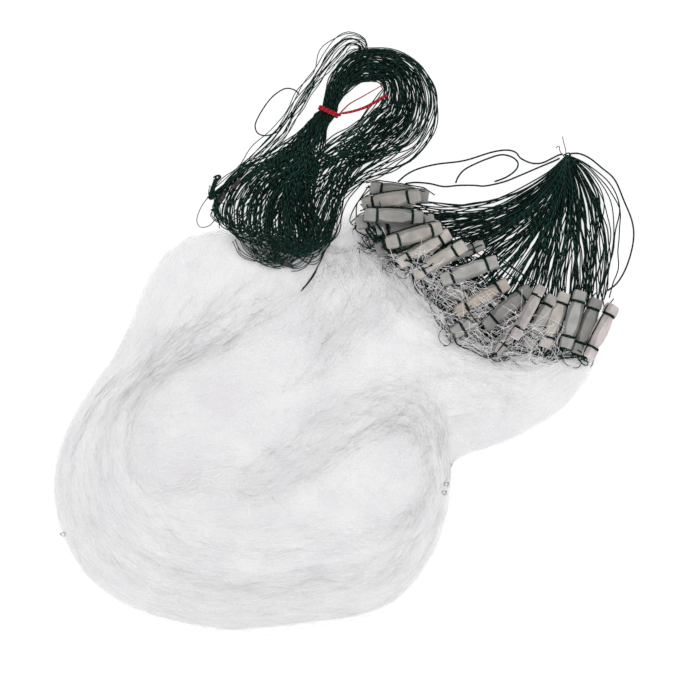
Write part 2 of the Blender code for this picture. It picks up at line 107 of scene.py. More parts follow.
view = bpy.data.cameras.new("camera")
view.sensor_width = SENSOR
view.lens = SENSOR * CAMERA_HEIGHT / VIEW_WIDTH
camera = add_object("camera", view)
camera.location = (*VIEW_MIDDLE, CAMERA_HEIGHT)
bpy.context.scene.camera = camera


# ------ materials
def set_inputs(made, *inputs, **named):
    """Gives a node its inputs in order and by name, each a value or a link."""
    chosen = list(zip(made.inputs, inputs))
    chosen += [(made.inputs[name.replace("_", " ")], value) for name, value in named.items()]
    for socket, value in chosen:
        if isinstance(value, bpy.types.NodeSocket):
            made.id_data.links.new(value, socket)
        else:
            socket.default_value = value


def principled(name, colour, roughness, **sockets):
    made = bpy.data.materials.new(name)
    made.use_nodes = True
    shader = made.node_tree.nodes["Principled BSDF"]
    set_inputs(shader, Base_Color=(*colour, 1), Roughness=roughness, **sockets)
    return made, made.node_tree, shader


def node(tree, kind, *inputs, **named):
    """A node with its settings, named in small letters, and its inputs, in order or named with capitals."""
    made = tree.nodes.new(kind)
    for name in filter(str.islower, named):
        setattr(made, name, named[name])
    set_inputs(made, *inputs, **{name: value for name, value in named.items() if not name.islower()})
    return made


def first_output(tree, kind, *inputs, **settings):
    return node(tree, kind, *inputs, **settings).outputs[0]


def maths(tree, operation, *inputs):
    return first_output(tree, "ShaderNodeMath", *inputs, operation=operation)


def attribute(tree, name, output="Fac"):
    return node(tree, "ShaderNodeAttribute", attribute_name=name).outputs[output]


def ramp_between(tree, factor, *stops):
    ramp = node(tree, "ShaderNodeValToRGB", factor)
    while len(ramp.color_ramp.elements) < len(stops):
        ramp.color_ramp.elements.new(0.5)
    for element, (place, colour) in zip(ramp.color_ramp.elements, stops):
        element.position = place
        element.color = (*colour, 1)
    return ramp.outputs["Color"]


def noise(tree, scale, detail, stretch=(1, 1, 1)):
    coords = node(tree, "ShaderNodeTexCoord")
    mapped = first_output(tree, "ShaderNodeMapping", Vector=coords.outputs["Object"], Scale=stretch)
    return node(tree, "ShaderNodeTexNoise", Vector=mapped, Scale=scale, Detail=detail).outputs["Fac"]


def mottle(shader, scale, detail, *stops):
    """Lets the colour drift between its stops from place to place."""
    shade = noise(shader.id_data, scale, detail)
    set_inputs(shader, Base_Color=ramp_between(shader.id_data, shade, *stops))


def add_bump(shader, height, strength, distance):
    bump = node(shader.id_data, "ShaderNodeBump", Strength=strength, Distance=distance, Height=height)
    set_inputs(shader, Normal=bump.outputs[0])


def nylon_material(name, seen_inside, seen_at_rim):
    """Clear monofilament, and how much of the light a strand of it stops."""
    made, tree, shader = principled(name, (0.9, 0.9, 0.91), 0.35)
    mottle(shader, 38.0, 2.0, (0.3, (0.9, 0.89, 0.905)), (0.7, (0.98, 0.98, 0.98)))
    seen = maths(tree, "MULTIPLY_ADD", attribute(tree, "fill"), seen_inside - seen_at_rim, seen_at_rim)
    set_inputs(shader, Alpha=seen)
    return made


OFFSET_REACH = 0.01  # how far, in metres, the twist of one strand may lie beside another's


def line_material(name, dark, light, twist_pitch, sheen_start):
    """A twisted line: a helix of light glints on dark filament."""
    made, tree, shader = principled(name, dark, 0.5, Specular_IOR_Level=0.06)
    phase = maths(tree, "MULTIPLY", attribute(tree, "along"), 2 * math.pi / twist_pitch)
    parts = node(tree, "ShaderNodeSeparateXYZ", attribute(tree, "side", "Vector")).outputs
    waves = [
        maths(tree, "MULTIPLY", maths(tree, operation, phase), part)
        for operation, part in zip(("SINE", "COSINE"), parts)
    ]
    half = maths(tree, "MULTIPLY_ADD", maths(tree, "ADD", *waves), 0.5, 0.5)
    lit = maths(tree, "MULTIPLY_ADD", noise(tree, 45.0, 2.0), 0.9, 0.5)
    glint = maths(tree, "MULTIPLY", half, lit)
    twisted = ramp_between(tree, glint, (sheen_start, dark), (0.95, light))
    share = maths(tree, "MULTIPLY", attribute(tree, "offset"), 1 / OFFSET_REACH)
    sheen = ramp_between(tree, share, (0.5, (0, 0, 0)), (1.0, tuple(0.3 * c for c in light)))
    colour = first_output(tree, "ShaderNodeVectorMath", twisted, sheen, operation="ADD")
    set_inputs(shader, Base_Color=colour)
    add_bump(shader, half, 0.6, 0.0004)
    return made


def foam_material(name, colour):
    """Carved foam: matt, mottled, with short knife marks."""
    made, tree, shader = principled(name, colour, 0.9)
    low, high = (tuple(shade * c for c in colour) for shade in (0.8, 1.22))
    mottled = ramp_between(tree, noise(tree, 90.0, 4.0), (0.3, low), (0.7, high))
    # The tone holds each float's own paleness with the painted shade of its sides and the painted highlight
    # at its ends.
    tone = attribute(tree, "tone")
    toned = first_output(tree, "ShaderNodeVectorMath", mottled, operation="SCALE", Scale=tone)
    set_inputs(shader, Base_Color=toned)
    add_bump(shader, noise(tree, 700.0, 3.0, stretch=(1, 1, 0.4)), 0.5, 0.0006)
    return made


NYLON = nylon_material("clear nylon monofilament", 0.118, 0.11)
NYLON_ON_TOP = nylon_material("clear nylon that lies single", 0.55, 0.4)
GREEN_LINE = line_material(
    "twisted green line", (0.0009, 0.0045, 0.0039), (0.0125, 0.042, 0.031), twist_pitch=0.0052,
    sheen_start=0.6,
)
RED_CORD = line_material(
    "red cord", (0.2, 0.003, 0.009), (0.34, 0.02, 0.034), twist_pitch=0.0036, sheen_start=0.3
)

# The inside of the bunch, where strands lie too thick to tell apart.
MASSED_NYLON, tree, shader = principled("massed nylon", (0.56, 0.55, 0.562), 0.7)
mottle(shader, 30.0, 4.0, (0.3, (0.53, 0.518, 0.535)), (0.7, (0.59, 0.592, 0.592)))
add_bump(shader, noise(tree, 420.0, 5.0), 0.35, 0.001)
set_inputs(shader, Alpha=attribute(tree, "fill"))

LEAD, _, shader = principled("dull lead", (0.03, 0.03, 0.033), 0.8, Specular_IOR_Level=0.15)
mottle(shader, 300.0, 3.0, (0.35, (0.012, 0.012, 0.014)), (0.7, (0.05, 0.05, 0.055)))

FOAMS = {
    "grey": foam_material("grey foam", (0.17, 0.168, 0.16)),
    "beige": foam_material("beige foam", (0.21, 0.195, 0.18)),
    "brown": foam_material("brown foam", (0.21, 0.18, 0.155)),
    "pink": foam_material("pinkish foam", (0.225, 0.2, 0.198)),
}


# ------ strands along paths
STRAND_INPUTS = {"Paths": "Geometry", "Diameter": "Float", "Sides": "Int", "Finish": "Material"}


def strand_tree():
    """Round strands along the edges of a mesh, as thick as each point's girth says."""
    tree = bpy.data.node_groups.new("strands along paths", "GeometryNodeTree")
    sockets = {}
    for label, kind in STRAND_INPUTS.items():
        made = tree.interface.new_socket(label, in_out="INPUT", socket_type="NodeSocket" + kind)
        sockets[label] = made.identifier
    tree.interface.new_socket("Strands", in_out="OUTPUT", socket_type="NodeSocketGeometry")
    given = node(tree, "NodeGroupInput").outputs

    def add(kind, **settings):
        return first_output(tree, "GeometryNode" + kind, **settings)

    curve = add("MeshToCurve", Mesh=given["Paths"])
    run = node(tree, "GeometryNodeSplineParameter").outputs["Length"]
    run = maths(tree, "ADD", run, add("InputNamedAttribute", Name="offset"))
    along = add("StoreNamedAttribute", Name="along", Geometry=curve, Value=run)
    ring = add("CurvePrimitiveCircle", Radius=1.0, Resolution=given["Sides"])
    place = add("InputPosition")
    side = add("StoreNamedAttribute", data_type="FLOAT_VECTOR", Name="side", Geometry=ring, Value=place)
    girth = add("InputNamedAttribute", Name="girth")
    radius = maths(tree, "MULTIPLY", maths(tree, "MULTIPLY", given["Diameter"], 0.5), girth)
    swept = add("CurveToMesh", Curve=along, Profile_Curve=side, Scale=radius, Fill_Caps=True)
    real = add("RealizeInstances", Geometry=add("SetShadeSmooth", Geometry=swept))
    node(tree, "NodeGroupOutput", Strands=add("SetMaterial", Geometry=real, Material=given["Finish"]))
    return tree, sockets


STRAND_TREE, STRAND_SOCKETS = strand_tree()


def strands(name, slot, look, diameter, sides, lines, *replaced):
    """One piece of many strands, each given as its path in metres, its girths and netting's fills."""
    paths, *values = zip(*lines)
    points = np.concatenate(paths)
    points[:, 2] = np.maximum(points[:, 2], 0.5 * diameter * MM)
    counts = [len(path) for path in paths]
    ahead = np.delete(np.arange(len(points)), np.cumsum(counts) - 1)
    mesh = bpy.data.meshes.new(name + " paths")
    mesh.from_pydata(points, np.stack((ahead, ahead + 1), axis=1), [])
    store(mesh, "offset", np.repeat(np.arange(len(paths)) * 3.71 * OFFSET_REACH % OFFSET_REACH, counts))
    for label, kept in zip(("girth", "fill"), values):
        store(mesh, label, np.concatenate(kept))
    holder = add_object(name, mesh)
    swept = holder.modifiers.new("strands", "NODES")
    swept.node_group = STRAND_TREE
    for label, value in (("Diameter", diameter * MM), ("Sides", sides), ("Finish", look)):
        swept[STRAND_SOCKETS[label]] = value
    result = evaluated(holder)
    bpy.data.objects.remove(holder)
    bpy.data.meshes.remove(mesh)
    return finished(add_object(name, result), slot, *replaced)


# ------ tools for paths
def rows_at(rows, places):
    """Rows of a table read at fractional places from a smooth curve through them."""
    rows = np.asarray(rows, float)
    last = len(rows) - 1
    places = np.clip(places, 0, last)
    first = np.minimum(places.astype(int), last - 1)
    t = (places - first)[:, None]
    a, b, c, d = (rows[np.clip(first + k, 0, last)] for k in (-1, 0, 1, 2))
    square, cube = (2 * a - 5 * b + 4 * c - d) * t ** 2, (3 * b - a - 3 * c + d) * t ** 3
    return 0.5 * (2 * b + (c - a) * t + square + cube)


def smooth_path(points, step):
    """Points a step apart along a smooth curve through the given ones."""
    points = np.asarray(points, float)
    fine = rows_at(points, np.linspace(0, len(points) - 1, 16 * (len(points) - 1) + 1))
    travelled = np.concatenate(([0], np.cumsum(lengths(np.diff(fine, axis=0)))))
    count = max(2, round(travelled[-1] / step))
    wanted = np.linspace(0, travelled[-1], count + 1)
    return np.stack([np.interp(wanted, travelled, column) for column in fine.T], axis=1)


def sideways_to(steps):
    """The level direction to the left of each step."""
    steps = steps / (lengths(steps)[:, None] + 1e-9)
    return np.stack((-steps[:, 1], steps[:, 0]), axis=1)


def squared(wave, squareness):
    """A wave pressed towards a square one."""
    return np.sign(wave) * np.abs(wave) ** squareness


def smoothed(values, rounds):
    for _ in range(rounds):
        padded = np.concatenate((values[:1], values, values[-1:]))
        values = (padded[:-2] + 2 * padded[1:-1] + padded[2:]) / 4
    return values


class Solid:
    """The top and the underside of CAD nodes over a place in plan."""

    def __init__(self, *names):
        corners = []
        faces = []
        for name in names:
            mesh = nodes[name].data
            first = len(corners)
            corners += [vert.co for vert in mesh.vertices]
            faces += [tuple(first + index for index in face.vertices) for face in mesh.polygons]
        self.tree = BVHTree.FromPolygons(corners, faces)

    def heights(self, plan, downward=True):
        start, way = (0.3, -1) if downward else (-0.1, 1)
        found = []
        for x, y, _ in at_heights(plan, np.zeros(len(plan))):
            hit = self.tree.ray_cast((x, y, start), (0, 0, way))[0]
            found.append(hit.z / MM if hit else 0.0)
        return np.array(found)


def blurred(field, rounds):
    """A field on a grid, averaged with its neighbours so many times."""
    for _ in range(rounds):
        for axis in (0, 1):
            field = (np.roll(field, 1, axis) + 2 * field + np.roll(field, -1, axis)) / 4
    return field


def bridged(field, rounds):
    """A field on a grid with its narrow hollows filled."""
    for pick in (np.maximum, np.minimum):
        for _ in range(rounds):
            for axis in (0, 1):
                field = pick(field, pick(np.roll(field, 1, axis), np.roll(field, -1, axis)))
    return field


class Relief:
    """A solid's height and how far in from its rim a place is, on a grid in plan."""

    STEP = 3.0
    REACH = 300.0

    def __init__(self, solid, bridge, soften, rim):
        ticks = np.arange(-self.REACH, self.REACH + self.STEP, self.STEP)
        grid = np.meshgrid(ticks, ticks, indexing="ij")
        height = solid.heights(np.column_stack([side.ravel() for side in grid])).reshape(grid[0].shape)
        inside = blurred(bridged((height > 0.5).astype(float), bridge), rim)
        self.fill = np.clip((inside - 0.4) * 3.0, 0, 1)
        self.height = blurred(bridged(height, bridge), soften)

    def read(self, field, plan):
        place = np.clip((np.asarray(plan) + self.REACH) / self.STEP, 0, len(field) - 1.001)
        x, y = place.astype(int).T
        across, up = (place - place.astype(int)).T
        low, high = (field[x, y + k] * (1 - across) + field[x + 1, y + k] * across for k in (0, 1))
        return low * (1 - up) + high * up

    def heights(self, plan):
        return self.read(self.height, plan)

    def fills(self, plan):
        return self.read(self.fill, plan)


NETTING_SOLID = Solid("netting")
NETTING_RELIEF = Relief(NETTING_SOLID, bridge=8, soften=8, rim=6)
FLOAT_NAMES = [f"float_{number:02d}" for number in range(1, 23)]
HEADING_RELIEF = Relief(Solid("netting", *FLOAT_NAMES), bridge=1, soften=1, rim=4)
HANK_SOLID = Solid("foot_line_hank")

# ------ netting
# A section across a bunch, from its outer edge to its inner edge.
Section = namedtuple("Section", "outer_x outer_y inner_x inner_y")

COIL = table(
    Section,
    (-104, 92, 2, 77), (-138, 80, 14, 65), (-164, 48, 4, 42), (-178, 10, -38, 14), (-192, -18, -86, -10),
    (-213, -48, -137, -34), (-233, -84, -156, -56), (-242, -124, -160, -82), (-236, -165, -151, -109),
    (-214, -204, -132, -131), (-178, -230, -105, -143), (-134, -248, -73, -146), (-88, -256, -40, -142),
    (-32, -252, -6, -134), (23, -243, 22, -126), (58, -218, 38, -120), (82, -182, 49, -114),
    (94, -146, 54, -109), (96, -110, 55, -105), (92, -76, 52, -101), (80, -48, 45, -96),
    (54, -31, 32, -98), (26, -32, 10, -110), (-5, -48, -15, -122), (-32, -71, -40, -136),
    (-60, -95, -68, -146), (-83, -112, -90, -144),
)
FLOAT_ARM = table(
    Section,
    (-182, -52, -176, -112), (-150, -14, -140, -140), (-112, 14, -92, -152), (-76, 38, -54, -154),
    (-40, 52, -12, -152), (-6, 68, 28, -146), (20, 80, 72, -128), (40, 58, 104, -104), (63, 34, 136, -94),
    (91, 12, 165, -80), (121, -6, 189, -65), (150, -16, 206, -46), (184, -18, 218, -31),
    (208, -18, 224, -22),
)
HEADING_STRIP = table(
    Section,
    (36, 104, 15, 88), (48, 83, 25, 62), (66, 66, 42, 42), (87, 51, 64, 20), (105, 33, 88, 4),
    (129, 17, 110, -14), (155, 5, 140, -26), (180, 4, 174, -27), (204, 2, 204, -25), (217, -2, 222, -18),
)

NECK = table(
    Section,
    (-6, 86, 22, 98), (-14, 64, 40, 80), (-22, 36, 56, 56), (-26, 6, 52, 28), (-34, -22, 36, 2),
    (-44, -50, 12, -24),
)

RIDGE = table(
    Section,
    (-182, -124, -178, -146), (-150, -122, -150, -148), (-118, -116, -122, -146), (-84, -108, -90, -138),
)
NECK_FILL = 6.0
NECK_MIDDLE = (12, 77, 2.4)
NECK_REACH = (28, 29, 1.8)
NECK_DENSITY = 0.62
TWINE = 0.26  # monofilament, thickened a little so that a single one still shows
TWINE_STEP = 7.0
KNOT_EVERY = 3  # steps between two knots of the mesh
KNOT_GIRTH = 1.9
FULL_WIDTH = 118.0  # a section narrower than this takes fewer strands
EDGE_SPARE = 4.0  # how far a strand may stray out past the edges of a bunch


def between_edges(row, share):
    """A place across a section, from 0 at its outer edge."""
    return row[..., 0:2] + (row[..., 2:4] - row[..., 0:2]) * share


def widths_at(rows, shares):
    row = rows_at(rows, np.asarray(shares) * (len(rows) - 1))
    return lengths(row[:, 0:2] - row[:, 2:4])


def knotted(steps):
    """Girths of mesh, thick at each knot."""
    return np.where(steps % KNOT_EVERY == 0, KNOT_GIRTH, 1.0)


def draped(relief, plan):
    """Heights over a relief that bridge what is narrow."""
    top = relief.heights(plan)
    wide = np.concatenate((top[:1], top[:1], top, top[-1:], top[-1:]))
    highest = np.max([wide[k:k + len(top)] for k in range(5)], axis=0)
    return smoothed(highest, 3)


def netting_strands(rows, count, seed, reach=(140, 330), drift=0.25, shell=0.72, stray=0.03, zigzag=2.2,
                    relief=NETTING_RELIEF):
    """Strands that follow a bunch, wander across it and zigzag from knot to knot."""
    rng = default_rng(seed)
    edges = np.array(rows, float)
    run = lengths(np.diff((edges[:, 0:2] + edges[:, 2:4]) / 2, axis=0)).sum()
    steps_out, steps_in = (lengths(np.gradient(edges[:, k:k + 2], axis=0)) for k in (0, 2))
    turning = smoothed(np.clip(steps_in / steps_out, 0, 1), 2)
    for _ in range(count):
        length = rng.uniform(*reach)
        steps = max(5, round(length / TWINE_STEP))
        share = length / run
        start = rng.uniform(-0.35 * share, 1 - 0.65 * share)
        t = start + share * np.linspace(0, 1, steps + 1)
        t = t[(t >= 0) & (t <= 1)]
        wide = widths_at(rows, t) > rng.uniform(0, 1) * FULL_WIDTH
        t = max(np.split(t[wide], np.flatnonzero(np.diff(np.flatnonzero(wide)) > 1) + 1), key=len)
        if len(t) < 4:
            continue
        s = np.linspace(0, 1, len(t))
        across = -stray + (1 + 2 * stray) * rng.beta(1.25, 1.25)
        lean = rng.normal(0, drift)
        wave = 0.08 * rng.normal() * np.sin(2 * np.pi * (rng.uniform(0.6, 1.8) * s + rng.uniform()))
        row = rows_at(rows, t * (len(rows) - 1))
        spare = EDGE_SPARE / lengths(row[:, 0:2] - row[:, 2:4])
        u = np.clip(across + lean * (s - 0.5) + wave, -stray - spare, 1 + stray + spare)
        u = u * np.where(u > 0, 0.5 + 0.5 * np.interp(t, np.linspace(0, 1, len(rows)), turning), 1)
        plan = between_edges(row, u[:, None])
        beat = np.arange(len(t)) + rng.integers(2 * KNOT_EVERY)
        saw = np.abs((beat % (2 * KNOT_EVERY)) / KNOT_EVERY - 1) * 2 - 1
        sway = zigzag * rng.uniform(0.3, 1.6) * saw + rng.normal(0, 0.5, len(t))
        plan = plan + sideways_to(np.gradient(plan, axis=0)) * sway[:, None]
        top = draped(relief, plan) if relief is HEADING_RELIEF else relief.heights(plan)
        depth = abs(rng.normal(0, 0.07)) if rng.random() < shell else rng.uniform(0.1, 0.85)
        depth = depth + 0.03 * np.sin(2 * np.pi * (rng.uniform(1, 3) * s + rng.uniform()))
        lift = rng.uniform(-0.5, 1.8) + rng.normal(0, 0.35, len(t))
        height = np.maximum(top * (1 - depth) + lift, 0.35 + rng.uniform(0, 0.8))
        girth = knotted(beat) * rng.uniform(0.75, 1.15)
        yield at_heights(plan, height), girth, relief.fills(plan)


def crossing_strands(rows, count, seed, length=(25, 80), relief=NETTING_RELIEF, lift=(-2.0, 1.8)):
    """Short bowed stretches of mesh in any direction over a bunch."""
    rng = default_rng(seed)
    lines = []
    while len(lines) < count:
        place = rng.uniform()
        if widths_at(rows, [place])[0] < rng.uniform(0, 1) * FULL_WIDTH:
            continue
        row = rows_at(rows, np.array([place * (len(rows) - 1)]))[0]
        middle = between_edges(row, rng.uniform(0, 1))
        steps = max(4, round(rng.uniform(*length) / TWINE_STEP))
        turn = rng.uniform(0, 2 * np.pi) + np.cumsum(rng.normal(0, 0.16, steps) + rng.normal(0, 0.07))
        hop = np.column_stack((np.cos(turn), np.sin(turn))) * TWINE_STEP
        plan = middle + np.cumsum(hop, axis=0) - hop.sum(axis=0) / 2
        fill = relief.fills(plan)
        if fill.min() < 0.02:
            continue
        height = draped(relief, plan) + rng.uniform(*lift) + rng.normal(0, 0.25, steps)
        lines.append((at_heights(plan, np.maximum(height, 0.5)), knotted(np.arange(steps)), fill))
    return lines


def finished(made, slot, *replaced):
    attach(made, "root")
    if replaced:
        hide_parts(*replaced)
    return made


def massed(name, shape, fill):
    """A piece of massed nylon, with its fill at each corner."""
    mesh = mesh_of(name, shape)
    mesh.shade_smooth()
    store(mesh, "fill", fill)
    mesh.materials.append(MASSED_NYLON)
    return add_object(name, mesh)


CORE_INSET = 0.0003
CORE_HEIGHT = 0.93
CORE_DROP = 0.001
CORE_LOWEST = 0.0004
CORE_DENSITY = 0.97
CORE_DENSITY_THIN = 0.88
CORE_FADE = 0.3  # the share of fill at which the inside has thinned out to nothing
CORE_LEVELLED = 0.85  # how far the strands fill the hollows of the folded form
CORE_FULL_ABOVE = 26.0  # millimetres of netting


def massed_core():
    """The inside of the bunch: its folded form, drawn in under the strands."""
    shape = bmesh.new()
    shape.from_mesh(nodes["netting"].data)
    bmesh.ops.remove_doubles(shape, verts=shape.verts, dist=1e-5)
    bmesh.ops.recalc_face_normals(shape, faces=shape.faces)
    for _ in range(3):
        bmesh.ops.smooth_vert(shape, verts=shape.verts, factor=0.5, use_axis_z=True)
    shape.normal_update()
    for vert in shape.verts:
        vert.co -= Vector((vert.normal.x, vert.normal.y, 0)) * CORE_INSET
        if vert.normal.z > 0.2:
            filled = NETTING_RELIEF.heights(in_layout([vert.co]))[0] * MM
            vert.co.z += CORE_LEVELLED * max(0, filled - vert.co.z)
        vert.co.z = max(CORE_LOWEST, vert.co.z * CORE_HEIGHT - CORE_DROP)
    bmesh.ops.recalc_face_normals(shape, faces=shape.faces)
    plan = in_layout([vert.co for vert in shape.verts])
    inward = np.clip((NETTING_RELIEF.fills(plan) - CORE_FADE) / (1 - CORE_FADE), 0, 1)
    full = np.clip(NETTING_RELIEF.heights(plan) / CORE_FULL_ABOVE, 0, 1)
    density = inward * (CORE_DENSITY_THIN + (CORE_DENSITY - CORE_DENSITY_THIN) * full)
    return massed("netting_core", shape, density)


def neck_haze():
    """The thin netting between the foot of the hank and the floats."""
    shape = bmesh.new()
    bmesh.ops.create_uvsphere(shape, u_segments=28, v_segments=12, radius=1.0)
    middle = placed([NECK_MIDDLE])[0]
    thinned = []
    for vert in shape.verts:
        thinned.append(NECK_DENSITY * max(0, 1 - math.hypot(vert.co.x, vert.co.y) ** 2))
        vert.co = middle + np.array(vert.co) * NECK_REACH * MM
    return massed("netting_neck_haze", shape, thinned)


def neck_strands(rows, count, seed, reach):
    """Strands that lie thin and show more for it."""
    lines = netting_strands(rows, count, seed, reach, drift=0.4)
    return [(path, girth, np.full(len(path), NECK_FILL)) for path, girth, _ in lines]


def add_netting():
    finished(massed_core(), "nylon_netting", "netting")
    finished(neck_haze(), "nylon_netting")
    bunches = {
        "netting_coil": netting_strands(COIL, 820, 11, stray=0.012),
        "netting_coil_cross": [
            *netting_strands(COIL, 480, 23, drift=0.4, stray=0.01, zigzag=3.0),
            *crossing_strands(COIL, 600, 29),
        ],
        "netting_arm": [
            *netting_strands(FLOAT_ARM, 640, 37, reach=(90, 220), drift=0.35),
            *netting_strands(HEADING_STRIP, 220, 41, reach=(60, 160), drift=0.5, zigzag=3.0),
            *neck_strands(NECK, 380, 47, (60, 160)), *neck_strands(NECK[:3], 320, 67, (25, 60)),
            *crossing_strands(FLOAT_ARM, 600, 43),
        ],
        "netting_ridge": netting_strands(RIDGE, 90, 61, reach=(30, 80), drift=0.5, shell=1.0),
    }
    for name, lines in bunches.items():
        look = NYLON_ON_TOP if name == "netting_ridge" else NYLON
        strands(name, "nylon_netting", look, TWINE, 3, lines)


# ------ foot line hank
# A place along the middle of a bunch of line, with half its width.
Station = namedtuple("Station", "x y half_width")

HANK_LOOP = table(
    Station,
    (-8, 190, 7), (-3, 206, 9), (6, 221, 11), (20, 229.8, 11.6), (37, 230.8, 11.8), (52, 223, 14.5),
    (59, 207, 18), (56, 187, 20), (42, 172.5, 20.5), (23, 159, 20.5), (5, 147, 21), (-14, 128, 24),
    (-31, 105, 34), (-38, 86, 34),
)
HANK_LEG = table(
    Station,
    (-60, 90, 42), (-61, 102, 42), (-56, 119, 38), (-45, 136, 30), (-33, 153, 22), (-23, 169, 15),
    (-14, 183, 8),
)
HANK_SIDE = table(
    Station,
    (-107, 111, 5), (-99, 124, 6), (-84, 139, 6), (-66, 157, 6), (-50, 174, 5), (-41, 187, 4),
    (-31, 203, 4), (-18, 222, 4), (-5, 241, 7), (8, 252, 6), (19, 250, 5), (24, 243, 4),
)
# A bight at the foot: its two shanks, where they start and how low it hangs.
Bight = namedtuple("Bight", "left_x right_x shank_y low_y")
# How low the line hangs at a place along the foot.
FootPlace = namedtuple("FootPlace", "x low_y")

HANK_FOOT = table(
    FootPlace,
    (-106, 104), (-98, 89), (-86, 80), (-73, 73), (-58, 67), (-46, 63), (-32, 63), (-18, 69), (-8, 79),
    (-2, 91),
)
LINE = 1.0  # as thick as the line looks with its twist
LINE_STEP = 5.0
HANK_TURNS = 150
SIDE_TURNS = 14
SHORT_TURN = 3  # every so many turns, one goes only up the leg and down again
BIGHT_GROUPS = 13
THIN = 0.75  # girth of a line that lies single and loose at the rim
LINE_WAVE = 0.9  # how far a line wavers to each side of its run


def bunch_points(stations, places, lateral):
    """Places along a bunch, set sideways by shares of half its width."""
    row = rows_at(stations, places)
    back, ahead = (
        rows_at(stations, np.clip(places + step, 0, len(stations) - 1))[:, 0:2] for step in (-0.05, 0.05)
    )
    return row[:, 0:2] + sideways_to(ahead - back) * (row[:, 2] * lateral)[:, None]


def hank_heights(plan, share):
    """Heights inside the hank's solid, or over what lies beside it."""
    top = HANK_SOLID.heights(plan)
    low = HANK_SOLID.heights(plan, downward=False)
    under = np.maximum(NETTING_SOLID.heights(plan), NETTING_RELIEF.heights(plan) + 1.2)
    floor = under * (under > 1.5) + 0.5 * LINE + 0.3
    inside = np.maximum(low, 0) + 0.7 + (np.maximum(top - low, 1.5) - 1.4) * share
    return np.where(top > 0.5, np.maximum(inside, floor), floor)


def wavered(path, rng, reach=LINE_WAVE):
    """A path that wavers to both sides, as line does that was wound before."""
    place = np.arange(len(path)) * LINE_STEP
    wave = sum(
        rng.normal(0, 0.6) * np.sin(2 * np.pi * (place / length + rng.uniform()))
        for length in (rng.uniform(24, 36), rng.uniform(36, 60), rng.uniform(60, 110))
    )
    return path + sideways_to(np.gradient(path, axis=0)) * (reach * wave)[:, None]


def half_bight(bight, side, shift):
    """From the low point of a bight to the start of its left (-1) or right (+1) shank."""
    angle = np.radians((90, 66, 42, 20))
    middle = (bight.left_x + bight.right_x) / 2
    reach = (bight.right_x - bight.left_x) / 2
    x = middle + side * reach * np.cos(angle)
    y = bight.shank_y - (bight.shank_y - bight.low_y) * np.sin(angle)
    return np.column_stack((x, y)) + shift


def foot_bight(centre, width, rise):
    low = np.interp(centre, *zip(*HANK_FOOT)) + rise
    return Bight(centre - width / 2, centre + width / 2, low + 0.45 * width + 6, low)


def leg_path(foot_x, tie_share, count=9):
    """The first places up the leg from the foot towards the tie."""
    foot_share = np.clip(-(foot_x + 60) / 42, -1.15, 1.12)
    blend = (np.linspace(0, 1, 9) ** 1.6)[:count]
    places = np.linspace(1.2, len(HANK_LEG) - 1, 9)[:count]
    return bunch_points(HANK_LEG, places, foot_share * (1 - blend) + tie_share * blend)


def hank_turns():
    """Turns of line, each from a bight at the foot round the loop and down to another."""
    rng = default_rng(5)
    bights = [
        foot_bight(-96 + 84 * rng.beta(1.25, 0.95), rng.uniform(12, 36), 5 + abs(rng.normal(0, 7)))
        for _ in range(HANK_TURNS + 1)
    ]
    s = np.linspace(0, 1, 20)
    near_tie = np.clip(1 - 4 * s, 0, 1)
    past_top = np.clip((s - 0.25) / 0.3, 0, 1)
    near_foot = np.clip((s - 0.7) / 0.3, 0, 1)
    for number in range(HANK_TURNS):
        start = half_bight(bights[number], -1, rng.normal(0, 1.0, 2))
        end = half_bight(bights[number + 1], 1, rng.normal(0, 1.0, 2))
        foot_share = np.clip((end[-1, 0] + 36) / 34, -1.1, 1.1)
        loop_share = rng.uniform(-1, 1)
        if number % 14 == 7:
            loop_share = rng.uniform(1.1, 1.45)
        if number % 14 == 3:
            loop_share = -rng.uniform(1.05, 1.35)
        tie_share = rng.uniform(-0.9, 0.9)
        wander = 0.2 * np.sin(7 * s * rng.uniform(0.6, 1.4) + rng.uniform(0, 6))
        held = np.clip(loop_share, -1, 1)
        held = held + (loop_share - held) * past_top
        share = (held + wander) * (1 - near_tie) + tie_share * near_tie
        share = share * (1 - near_foot) + foot_share * near_foot
        if number % SHORT_TURN == 0:
            leg = leg_path(start[-1, 0], tie_share, 6)
            loop = leg_path(end[-1, 0], tie_share, 6)[::-1]
        else:
            leg = leg_path(start[-1, 0], tie_share)
            loop = bunch_points(HANK_LOOP, np.linspace(0, len(HANK_LOOP) - 2.6, 20), share)
        path = wavered(smooth_path(np.concatenate((start, leg, loop, end[::-1])), LINE_STEP), rng)
        yield at_heights(path, smoothed(hank_heights(path, rng.uniform(0.05, 1.0)), 4))


def loose_bights():
    """Thin bights that hang out below the foot, a few in each group."""
    rng = default_rng(13)
    for _ in range(BIGHT_GROUPS):
        centre, width, rise = rng.uniform((-84, 22, -9), (-22, 52, 5))
        for place in range(rng.integers(3, 6)):
            bight = foot_bight(centre + rng.normal(0, 1.0), width - 2.2 * place, rise + 1.6 * place)
            shift = rng.normal(0, 0.5, 2)
            halves = (half_bight(bight, -1, shift)[::-1], half_bight(bight, 1, shift)[1:])
            path = wavered(smooth_path(np.concatenate(halves), 3.0), rng, 0.5)
            yield at_heights(path, smoothed(hank_heights(path, 0.9), 3) + 0.4)


